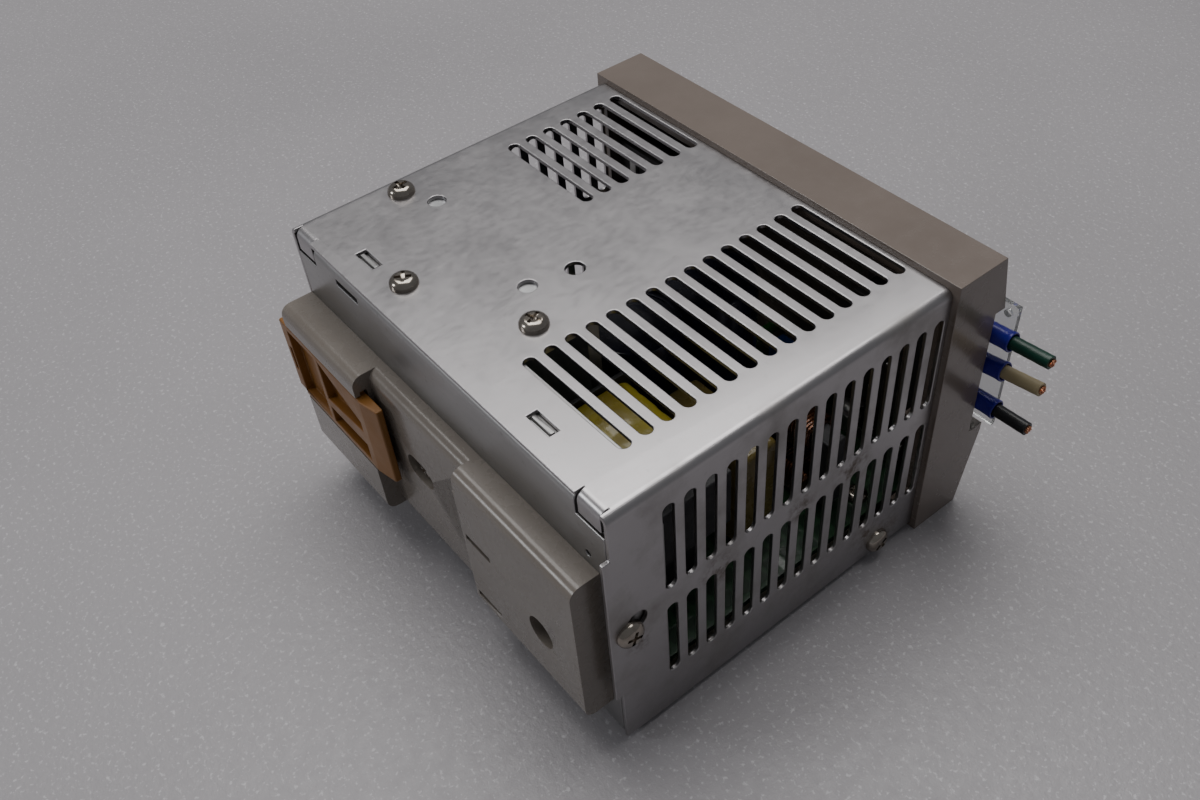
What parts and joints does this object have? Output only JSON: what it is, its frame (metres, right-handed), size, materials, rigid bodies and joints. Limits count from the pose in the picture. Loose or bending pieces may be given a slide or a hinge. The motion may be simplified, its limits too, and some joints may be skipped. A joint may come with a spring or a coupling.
{
  "type": "din rail power supply",
  "caption": "Rail-mounted switching power supply in a vented sheet metal case with a moulded front cover, clear terminal covers, a sliding rail latch and crimped input wires.",
  "frame": {"origin": "centre of the bounding box in X and Y, at its lowest point in Z", "axes": "+Z out of the large vented panel, -Y out of the front with the terminals, +Y out of the rail adapter, -X the way the input wires leave"},
  "size_m": [0.129, 0.1146, 0.0737],
  "materials": {
    "case_metal": "satin zinc-plated sheet, handling marks",
    "chassis_metal": "satin zinc-plated sheet",
    "screw_metal": "nickel plated",
    "cover_plastic": "moulded, glossy taupe",
    "adapter_plastic": "moulded beige-grey, light gloss",
    "latch_plastic": "moulded ochre",
    "clear_plastic": "clear moulded plastic",
    "block_plastic": "moulded black",
    "sleeve_blue": "blue vinyl sleeve",
    "wire_green_pvc": "dark green insulation",
    "wire_cream_pvc": "cream insulation",
    "wire_black_pvc": "black insulation",
    "copper": "bare copper strand",
    "tinned": "tinned copper",
    "label": "blank satin label",
    "spring_steel": "spring wire",
    "board": "glass epoxy, green mask",
    "liner": "insulating film",
    "sink": "extruded aluminium",
    "component_black": "epoxy",
    "ferrite": "ferrite",
    "tape_yellow": "polyester tape",
    "can_sleeve": "shrink sleeve",
    "enamel_wire": "enamelled copper",
    "disc_blue": "dipped ceramic disc",
    "fuse_glass": "glass tube",
    "trimmer_blue": "moulded blue",
    "trimmer_white": "moulded white",
    "lamp_green": "tinted lens"
  },
  "bodies": {
    "case": {"vented_cover": "case_metal", "chassis": "chassis_metal", "front_cover": "cover_plastic", "front_label": "label", "input_terminal_block": "block_plastic", "output_terminal_block": "block_plastic", "terminal_plates": "tinned", "terminal_screws": "screw_metal", "terminal_links": "tinned", "crimp_terminals": "tinned", "crimp_sleeves": "sleeve_blue", "wire_green": "wire_green_pvc", "wire_cream": "wire_cream_pvc", "wire_black": "wire_black_pvc", "wire_strands": "copper", "rail_adapter": "adapter_plastic", "latch_spring": "spring_steel", "adapter_screws": "screw_metal", "cover_screws": "screw_metal", "side_screws": "screw_metal", "insulation_sheet": "liner", "board_pillars": "tinned", "circuit_board": "board", "board_screws": "screw_metal", "heat_sink": "sink", "bridge_rectifier": "component_black", "switching_transistor": "component_black", "output_diode": "component_black", "device_screws": "screw_metal", "transformer_core": "ferrite", "transformer_bobbin": "component_black", "transformer_winding": "tape_yellow", "input_capacitors": "can_sleeve", "output_capacitors": "can_sleeve", "line_filter_core": "ferrite", "line_filter_windings": "enamel_wire", "film_capacitor": "tape_yellow", "safety_capacitors": "disc_blue", "output_choke": "enamel_wire", "fuse": "fuse_glass", "fuse_clips": "tinned", "trimmer_body": "trimmer_blue", "indicator_lamp": "lamp_green"},
    "latch": {"rail_latch": "latch_plastic"},
    "input_flap": {"input_cover": "clear_plastic"},
    "output_flap": {"output_cover": "clear_plastic"},
    "adjuster": {"trimmer_rotor": "trimmer_white"}
  },
  "joints": [
    {"name": "latch_slide", "type": "slide", "parent": "case", "child": "latch", "axis": [1, 0, 0], "range_m": [0, 0.007], "stiffness_N_per_m": 300, "springref_m": -0.002, "deforming": ["latch_spring"]},
    {"name": "input_cover_hinge", "type": "hinge", "parent": "case", "child": "input_flap", "pos_m": [-0.02705, -0.0526, 0.041], "axis": [0, 0, 1], "range_deg": [0, 95]},
    {"name": "output_cover_hinge", "type": "hinge", "parent": "case", "child": "output_flap", "pos_m": [0.03895, -0.0526, 0.0365], "axis": [0, 0, -1], "range_deg": [0, 95]},
    {"name": "voltage_trimmer", "type": "hinge", "parent": "case", "child": "adjuster", "pos_m": [-0.00105, -0.0461, 0.0161], "axis": [0, -1, 0], "range_deg": [-130, 130]}
  ]
}
